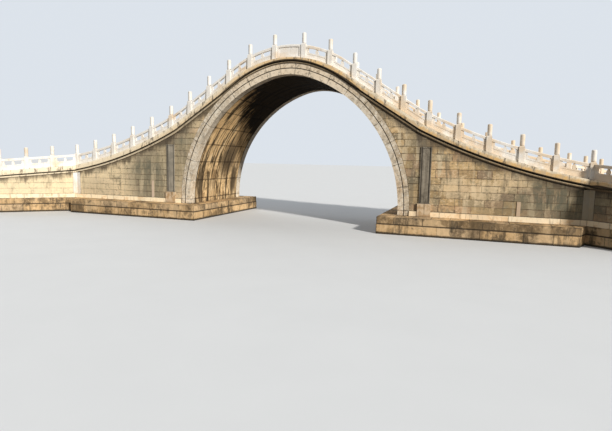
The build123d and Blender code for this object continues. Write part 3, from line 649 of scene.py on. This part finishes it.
def plinth_material():
    """Stones of the plinth: pale yellow, palest in the west."""
    finish = Finish("plinth_stone")
    colour = finish.mix(finish.island, (0.92, 0.73, 0.49), (1.0, 0.88, 0.66))
    cloud = finish.noise(2.5, 6, 0.65, warp=0.4)
    colour = finish.stain(colour, finish.x, *PALE_PLINTH, 0.85, (1.0, 0.87, 0.63))
    colour = finish.stain(colour, cloud, 0.51, 0.62, 0.5, (0.76, 0.50, 0.25))
    streak = finish.noise(5, 5, 0.6, stretch=(1, 1, 0.2), warp=0.3)
    colour = finish.stain(colour, streak, 0.54, 0.64, 0.4, (0.25, 0.19, 0.13))
    edge = finish.plus(finish.rim(), finish.swing(cloud, 2.0))
    colour = finish.stain(colour, edge, 0.5, 1.3, 0.6, (0.22, 0.17, 0.12))
    return finish.finish(colour, 0.85, stone_relief(finish), depth=0.008)


def pilaster_material():
    """Couplet pilasters: grey streaked shafts with dark lines of painted shade along the edges of their
    fields, and warm bases.
    """
    finish = Finish("grey_stone")
    outer_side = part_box("couplet_pilasters")[1].x
    cloud = finish.noise(2.8, 7, 0.7, warp=0.4)
    streak = finish.noise(7, 6, 0.7, stretch=(1, 1, 0.06), warp=0.2)
    shaft = finish.mix(finish.ramp(cloud, 0.34, 0.66), (0.31, 0.27, 0.21), (0.15, 0.13, 0.10))
    shaft = finish.stain(shaft, streak, 0.5, 0.66, 0.75, (0.08, 0.07, 0.055))
    shaft = finish.stain(shaft, streak, 0.46, 0.32, 0.5, (0.52, 0.47, 0.38))
    shaft = finish.stain(shaft, finish.x, *PALE_SHAFTS, 0.3, (0.56, 0.52, 0.44))
    base = finish.mix(finish.ramp(cloud, 0.42, 0.60), (0.66, 0.52, 0.36), (0.46, 0.31, 0.17))
    base = finish.stain(base, streak, 0.52, 0.64, 0.7, (0.20, 0.15, 0.10))
    foot_grime = finish.plus(finish.z, finish.swing(cloud, 0.5))
    base = finish.stain(base, foot_grime, *BASE_GRIME, 0.6, (0.24, 0.18, 0.12))
    colour = finish.mix(finish.ramp(finish.z, SHAFT_FOOT - SOFT_EDGE / 2, SHAFT_FOOT), base, shaft)
    # Painted shade: a dark line along each edge of the sunk field of a shaft.
    aside = finish.less(finish.from_crown, outer_side - FIELD_MARGIN)
    line = finish.near_whole(finish.maths("DIVIDE", aside, -FIELD_WIDTH), 0.13)
    line = finish.times(line, finish.ramp(finish.z, SHAFT_FOOT, SHAFT_FOOT + SOFT_EDGE))
    colour = finish.mix(finish.times(line, 0.9), colour, (0.04, 0.035, 0.03))
    # Painted shade: the pilaster darkens where it is closed in, in corners.
    crevice_shade = finish.plus(finish.shelter(0.10), finish.swing(cloud, 0.4))
    colour = finish.stain(colour, crevice_shade, 0.2, 0.7, 0.9, (0.06, 0.05, 0.04))
    return finish.finish(colour, 0.8, stone_relief(finish), depth=0.006)


def paving_material():
    """Steps and paving: grey brown slabs, worn pale along the middle of the way."""
    finish = Finish("step_stone")
    colour = finish.mix(finish.island, (0.46, 0.39, 0.30), (0.68, 0.60, 0.48))
    cloud = finish.noise(2.2, 6, 0.65, warp=0.4)
    colour = finish.stain(colour, cloud, 0.5, 0.72, 0.5, (0.30, 0.26, 0.20))
    aside = finish.maths("ABSOLUTE", finish.y)
    colour = finish.stain(colour, aside, *WALKED, 0.35, (0.74, 0.68, 0.57))
    rough = finish.ramp(cloud, 0.3, 0.7, 0.6, 0.85)
    return finish.finish(colour, rough, stone_relief(finish), depth=0.006)


# Cladding: flat faces of the frame cut into stones

def patch_of(node, wanted):
    """The faces of a node that pass a test, as a mesh of its own with its doubled corners merged."""
    patch = bmesh.new()
    patch.from_mesh(nodes[node].data)
    patch.normal_update()
    others = [face for face in patch.faces if not wanted(face)]
    bmesh.ops.delete(patch, geom=others, context="FACES")
    bmesh.ops.remove_doubles(patch, verts=patch.verts, dist=MERGE_DISTANCE)
    patch.faces.ensure_lookup_table()
    return patch


def flat_groups(node, wanted):
    """The flat faces of a node, one patch for each plane that they lie in."""
    groups = {}
    for polygon in nodes[node].data.polygons:
        if wanted(polygon.normal):
            offset = polygon.normal.dot(polygon.center)
            key = tuple(round(number, PLANE_DIGITS) for number in (*polygon.normal, offset))
            groups.setdefault(key, set()).add(polygon.index)
    return [patch_of(node, lambda face: face.index in groups[key]) for key in sorted(groups)]


def trimmed(patch, direction, low, high):
    """Copy of a patch between two places along a direction."""
    piece = patch.copy()
    for place, sense in ((low, -1), (high, 1)):
        bmesh.ops.bisect_plane(
            piece,
            geom=piece.verts[:] + piece.edges[:] + piece.faces[:],
            dist=CUT_TOLERANCE,
            plane_co=direction * place,
            plane_no=direction * sense,
            clear_outer=True,
        )
    return piece


def extent(patch, direction):
    """Where a patch starts and ends along a direction."""
    places = [vertex.co.dot(direction) for vertex in patch.verts]
    return (min(places), max(places)) if places else (0, 0)


def stops(start, end, length, dice):
    """Joints of one course: stones of about one length, with no short one at its end."""
    places = [start]
    place = start + length * dice.uniform(*FIRST_STONE_SHARE)
    while place < end - SHORTEST_STONE:
        places.append(place)
        place += length * dice.uniform(1 - LENGTH_SPREAD, 1 + LENGTH_SPREAD)
    return places + [end]


def narrowness(outline):
    """Area of an outline over half its length round, a measure of how far in from its edge it reaches."""
    area = Vector((0, 0, 0))
    around = 0.0
    for first, second in zip(outline, outline[1:] + outline[:1]):
        area += first.cross(second) / 2
        around += (second - first).length
    return 2 * area.length / around


def turned_over(outline, moved):
    """Whether an edge of a moved outline runs against the edge that it comes from."""
    edges = zip(outline, outline[1:] + outline[:1])
    moved_edges = zip(moved, moved[1:] + moved[:1])
    return any(
        (end - start).dot(new_end - new_start) <= 0
        for (start, end), (new_start, new_end) in zip(edges, moved_edges)
    )


def drawn_in(outline, normal, distance):
    """An outline moved in from its edges, by less where an edge would turn over."""
    befores = outline[-1:] + outline[:-1]
    afters = outline[1:] + outline[:1]
    while True:
        moved = []
        for before, point, after in zip(befores, outline, afters):
            inward = normal.cross((point - before).normalized())
            inward += normal.cross((after - point).normalized())
            moved.append(point + inward * (distance / max(inward.length_squared / 2, SHARPEST_CORNER)))
        if distance <= LEAST_INSET or not turned_over(outline, moved):
            return moved
        distance /= 2


def cleaned(outline):
    """An outline without spikes and without points that lie on the line between their neighbours."""
    kept = list(outline)
    index = 0
    while index < len(kept) and len(kept) > 3:
        before, point, after = kept[index - 1], kept[index], kept[(index + 1) % len(kept)]
        short = (point - before).length < SHORTEST_EDGE
        if short or (point - before).cross(after - point).length < FLATTEST_CORNER:
            del kept[index]
            index = max(index - 2, 0)
        else:
            index += 1
    return kept


def new_object(name, data):
    """Object of its own for a mesh, camera or lamp, linked into the scene."""
    thing = bpy.data.objects.new(name, data)
    bpy.context.scene.collection.objects.link(thing)
    return thing


class Stones:
    """A mesh of many closed stones."""

    def __init__(self, name):
        self.name = name
        self.mesh = bmesh.new()
        self.rim = self.mesh.verts.layers.float.new("rim")

    def add(self, outline, normal, proud, chamfer):
        """One stone over a flat outline: a bed in the wall, upright sides, a chamfer and a rimmed face."""
        size = narrowness(outline)
        chamfer = min(chamfer, size / CHAMFER_PARTS)
        face = drawn_in(outline, normal, chamfer)
        middle = drawn_in(face, normal, min(RIM, size / RIM_PARTS))
        loops = []
        for points, height, worn in (
            (outline, -BED, 1.0),
            (outline, proud - chamfer, 1.0),
            (face, proud, 1.0),
            (middle, proud, 0.0),
        ):
            loops.append([self.mesh.verts.new(point + normal * height) for point in points])
            for vertex in loops[-1]:
                vertex[self.rim] = worn
        self.mesh.faces.new(list(reversed(loops[0])))
        self.mesh.faces.new(loops[-1])
        count = len(outline)
        for lower, upper in zip(loops, loops[1:]):
            for index in range(count):
                after = (index + 1) % count
                self.mesh.faces.new((lower[index], lower[after], upper[after], upper[index]))

    def take(self, cut, normal, proud, chamfer):
        """Adds a stone over each outline that a cut patch leaves."""
        if not cut.faces:
            return
        bmesh.ops.dissolve_faces(cut, faces=cut.faces[:], use_verts=False)
        for face in cut.faces:
            if face.calc_area() > SMALLEST_AREA:
                outline = cleaned([vertex.co.copy() for vertex in face.verts])
                if face.normal.dot(normal) < 0:
                    outline.reverse()
                self.add(outline, normal, proud, chamfer)

    def clad(self, patch, across, up, levels, length, dice, proud=PROUD, chamfer=CHAMFER):
        """Cuts a flat patch into courses between levels, and each course into stones."""
        normal = patch.faces[0].normal.copy()
        for low, high in zip(levels, levels[1:]):
            course = trimmed(patch, up, low + BED_JOINT / 2, high - BED_JOINT / 2)
            start, end = extent(course, across)
            if end - start > SHORTEST_COURSE:
                places = stops(start, end, length, dice)
                for left, right in zip(places, places[1:]):
                    cut = trimmed(course, across, left + SIDE_JOINT / 2, right - SIDE_JOINT / 2)
                    self.take(cut, normal, proud + dice.uniform(-PROUD_SPREAD, PROUD_SPREAD), chamfer)
                    cut.free()
            course.free()

    def place(self, material, slot):
        """Puts the stones into the scene as one piece."""
        data = bpy.data.meshes.new(self.name)
        self.mesh.normal_update()
        self.mesh.to_mesh(data)
        self.mesh.free()
        data.materials.append(material)
        piece = new_object(self.name, data)
        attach(piece, "root")


def wall_levels(foot, top):
    """Course levels from the foot of a wall to above its highest stone."""
    levels = [foot]
    for height in WALL_COURSES:
        levels.append(levels[-1] + height)
    while levels[-1] < top:
        levels.append(levels[-1] + UPPER_COURSE)
    return levels


def across_of(normal):
    """Level direction along an upright face."""
    return UP.cross(normal).normalized()


def upright(normal):
    return abs(normal.z) < UPRIGHT


def faces_out(normal, centre):
    """Whether an upright face looks away from the middle of the way."""
    return normal.y * centre.y > OUTWARD


def faces_away(normal, centre, limit):
    """Whether an upright face looks along the bridge, away from the crown."""
    return normal.x * centre.x > limit * abs(centre.x)


def clad_sides(node, name, levels, length, material, slot, seed, wanted):
    """Stones on the upright sides of a node that pass a test."""
    stones = Stones(name)
    dice = random.Random(seed)
    for patch in flat_groups(node, upright):
        normal = patch.faces[0].normal.copy()
        if wanted(normal, patch.faces[0].calc_center_median()):
            stones.clad(patch, across_of(normal), UP, levels, length, dice)
    stones.place(material, slot)


def clad_tops(node, name, width, length, material, slot, seed):
    """Slabs on the upper faces of a node, with joints along and across the way."""
    stones = Stones(name)
    dice = random.Random(seed)
    for patch in flat_groups(node, lambda normal: normal.z > FACING_UP):
        along = ACROSS.cross(patch.faces[0].normal).normalized()
        start, end = extent(patch, along)
        rows = max(1, round((end - start) / width))
        levels = [start + (end - start) * row / rows for row in range(rows + 1)]
        stones.clad(patch, ACROSS, along, levels, length, dice, SLAB_PROUD, SLAB_CHAMFER)
    stones.place(material, slot)


def clad_walls(material):
    """Stones on the walls beside the arch and on the wings, in courses that run through."""
    foot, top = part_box("spandrel_wall_front_east")
    levels = wall_levels(foot.z, top.z)
    names = [name for name in sorted(nodes) if name.startswith("spandrel_wall")]
    for number, name in enumerate(names):
        stones = Stones(f"stones_{name}")
        normal = -ACROSS if "front" in name else ACROSS
        patch = patch_of(name, lambda face: face.normal.dot(normal) > SAME_WAY)
        dice = random.Random(WALL_SEED + number)
        stones.clad(patch, across_of(normal), UP, levels, WALL_STONE, dice)
        stones.place(material, "ashlar")
    for number, name in enumerate(("wing_walls_east", "wing_walls_west")):
        clad_sides(
            name, f"stones_{name}", levels, WALL_STONE, material, "ashlar", WING_SEED + number,
            lambda normal, centre: faces_out(normal, centre) or faces_away(normal, centre, WING_END),
        )


def clad_footings(material):
    """Two courses of long stones round each footing."""
    for number, name in enumerate(("footing_east", "footing_west")):
        low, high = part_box(name)
        levels = [low.z, FOOTING_JOINT_LEVEL, high.z]
        clad_sides(
            name, f"stones_{name}", levels, FOOTING_STONE, material, "footing_stone",
            FOOTING_SEED + number, lambda normal, centre: True,
        )


def clad_plinths(material):
    """One course of long stones on the outer sides of each plinth."""
    for number, name in enumerate(("plinth_east", "plinth_west")):
        low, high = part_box(name)
        clad_sides(
            name, f"stones_{name}", [low.z, high.z], PLINTH_STONE, material, "plinth_stone",
            PLINTH_SEED + number, faces_out,
        )


def clad_end(side, number, material):
    """Stones on the end of the mass between the wings."""
    node = f"approach_fill_{side}"
    low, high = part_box(node)
    clad_sides(
        node, f"stones_end_{side}", wall_levels(low.z, high.z), WALL_STONE, material, "ashlar",
        END_SEED + number, lambda normal, centre: faces_away(normal, centre, APPROACH_END),
    )


def clad_walkway(paving, footing, ashlar):
    """Slabs of the steps, the approaches, the footing's ledges and the landing, and the end stones."""
    for number, side in enumerate(("east", "west")):
        clad_tops(
            f"steps_{side}", f"slabs_steps_{side}", STEP_SLAB_WIDTH, SLAB_LENGTH,
            paving, "step_stone", STEP_SEED + number,
        )
        clad_tops(
            f"approach_paving_{side}", f"slabs_approach_{side}", APPROACH_SLAB_WIDTH, SLAB_LENGTH,
            paving, "step_stone", APPROACH_SEED + number,
        )
        clad_tops(
            f"footing_{side}", f"slabs_footing_{side}", FOOTING_SLAB_WIDTH, FOOTING_SLAB_LENGTH,
            footing, "footing_stone", FOOTING_TOP_SEED + number,
        )
        clad_end(side, number, ashlar)
    clad_tops(
        "crown_landing", "slabs_crown_landing", LANDING_SLAB_WIDTH, SLAB_LENGTH,
        paving, "step_stone", LANDING_SEED,
    )


# Dressing of the frame's own nodes

def paint(material, *starts):
    """Gives a material to every node whose name starts with one of these words."""
    for name, piece in nodes.items():
        if name.startswith(starts):
            piece.data.materials.clear()
            piece.data.materials.append(material)


def dress():
    """Gives every node its finish, and lays the stones and slabs over them."""
    mortar = mortar_material()
    ashlar = ashlar_material()
    footing = footing_material()
    paving = paving_material()
    ring = ring_material("ring_stone", (0.86, 0.76, 0.61), (0.62, 0.52, 0.39))
    hood = ring_material("hood_stone", (0.70, 0.59, 0.44), (0.50, 0.41, 0.29))
    paint(marble_material(), "posts", "panels", "crown_panels", "wing_posts", "wing_panels",
          "corner_piers", "gauge_strips")
    paint(cornice_material(), "edge_stones", "fillet", "wing_edge_stones", "wing_fillet")
    paint(ring, "arch_ring")
    paint(hood, "hood_band")
    paint(vault_material(), "vault_strip")
    paint(pilaster_material(), "couplet_pilasters")
    paint(mortar, "spandrel_wall", "wing_walls", "core_fill", "approach_fill", "footing", "plinth")
    paint(paving, "steps", "crown_landing", "approach_paving")
    clad_walls(ashlar)
    clad_footings(footing)
    clad_plinths(plinth_material())
    clad_walkway(paving, footing, ashlar)


# Stage, light and camera

def add_camera():
    forward = Vector((
        math.sin(CAMERA_YAW) * math.cos(CAMERA_PITCH),
        math.cos(CAMERA_YAW) * math.cos(CAMERA_PITCH),
        -math.sin(CAMERA_PITCH),
    ))
    level = Vector((math.cos(CAMERA_YAW), -math.sin(CAMERA_YAW), 0))
    down = forward.cross(level)
    right = level * math.cos(CAMERA_ROLL) + down * math.sin(CAMERA_ROLL)
    below = down * math.cos(CAMERA_ROLL) - level * math.sin(CAMERA_ROLL)
    data = bpy.data.cameras.new("camera")
    data.lens = LENS
    data.sensor_width = SENSOR
    data.clip_end = FARTHEST_SEEN
    camera = new_object("camera", data)
    axes = Matrix((right, -below, -forward)).transposed()
    camera.matrix_world = Matrix.Translation(CAMERA_PLACE) @ axes.to_4x4()
    bpy.context.scene.camera = camera


def seen_directly(tree):
    """1 for rays that show in the picture straight, by gloss or through glass, and 0 for the others."""
    path = tree.nodes.new("ShaderNodeLightPath")
    seen = tree.nodes.new("ShaderNodeMath")
    seen.operation = "MAXIMUM"
    tree.links.new(path.outputs["Is Camera Ray"], seen.inputs[0])
    tree.links.new(path.outputs["Is Glossy Ray"], seen.inputs[1])
    through = tree.nodes.new("ShaderNodeMath")
    through.operation = "MAXIMUM"
    tree.links.new(seen.outputs[0], through.inputs[0])
    tree.links.new(path.outputs["Is Transmission Ray"], through.inputs[1])
    return through.outputs[0]


def floor_material():
    """Pale where it shows, and darker to the light that it throws back up."""
    finish = Finish("pale_floor")
    shown = finish.mix(finish.noise(0.6, 3), *FLOOR_SHOWN)
    colour = finish.mix(seen_directly(finish.tree), FLOOR_LIGHTING, shown)
    finish.put(colour, finish.shader.inputs["Base Color"])
    finish.put(0.9, finish.shader.inputs["Roughness"])
    finish.put(0.0, finish.shader.inputs["Specular IOR Level"])
    return finish.material


def add_floor():
    corners = [(x * FLOOR_REACH, y * FLOOR_REACH, 0) for x, y in ((-1, -1), (1, -1), (1, 1), (-1, 1))]
    data = bpy.data.meshes.new("floor")
    data.from_pydata(corners, [], [(0, 1, 2, 3)])
    data.materials.append(floor_material())
    floor = new_object("floor", data)
    floor.location.z = -FLOOR_DROP


def add_world():
    """Even light from all round, with a pale backdrop where it shows."""
    world = bpy.context.scene.world or bpy.data.worlds.new("world")
    bpy.context.scene.world = world
    world.use_nodes = True
    tree = world.node_tree
    tree.nodes.clear()
    fill = tree.nodes.new("ShaderNodeBackground")
    fill.inputs["Color"].default_value = FILL_COLOUR
    fill.inputs["Strength"].default_value = FILL_STRENGTH
    backdrop = tree.nodes.new("ShaderNodeBackground")
    backdrop.inputs["Color"].default_value = BACKDROP_COLOUR
    mix = tree.nodes.new("ShaderNodeMixShader")
    output = tree.nodes.new("ShaderNodeOutputWorld")
    tree.links.new(seen_directly(tree), mix.inputs[0])
    tree.links.new(fill.outputs[0], mix.inputs[1])
    tree.links.new(backdrop.outputs[0], mix.inputs[2])
    tree.links.new(mix.outputs[0], output.inputs[0])


def add_lamps():
    for name, bearing, height, width, energy, colour in LAMPS:
        data = bpy.data.lights.new(name, "SUN")
        data.energy = energy
        data.angle = math.radians(width)
        data.color = colour
        round_turn = Matrix.Rotation(math.radians(bearing), 3, "Z")
        tilt = Matrix.Rotation(math.radians(90 - height), 3, "X")
        new_object(name, data).rotation_euler = (round_turn @ tilt).to_euler()


add_camera()
dress()
add_floor()
add_world()
add_lamps()

bpy.context.scene.view_settings.view_transform = "Standard"
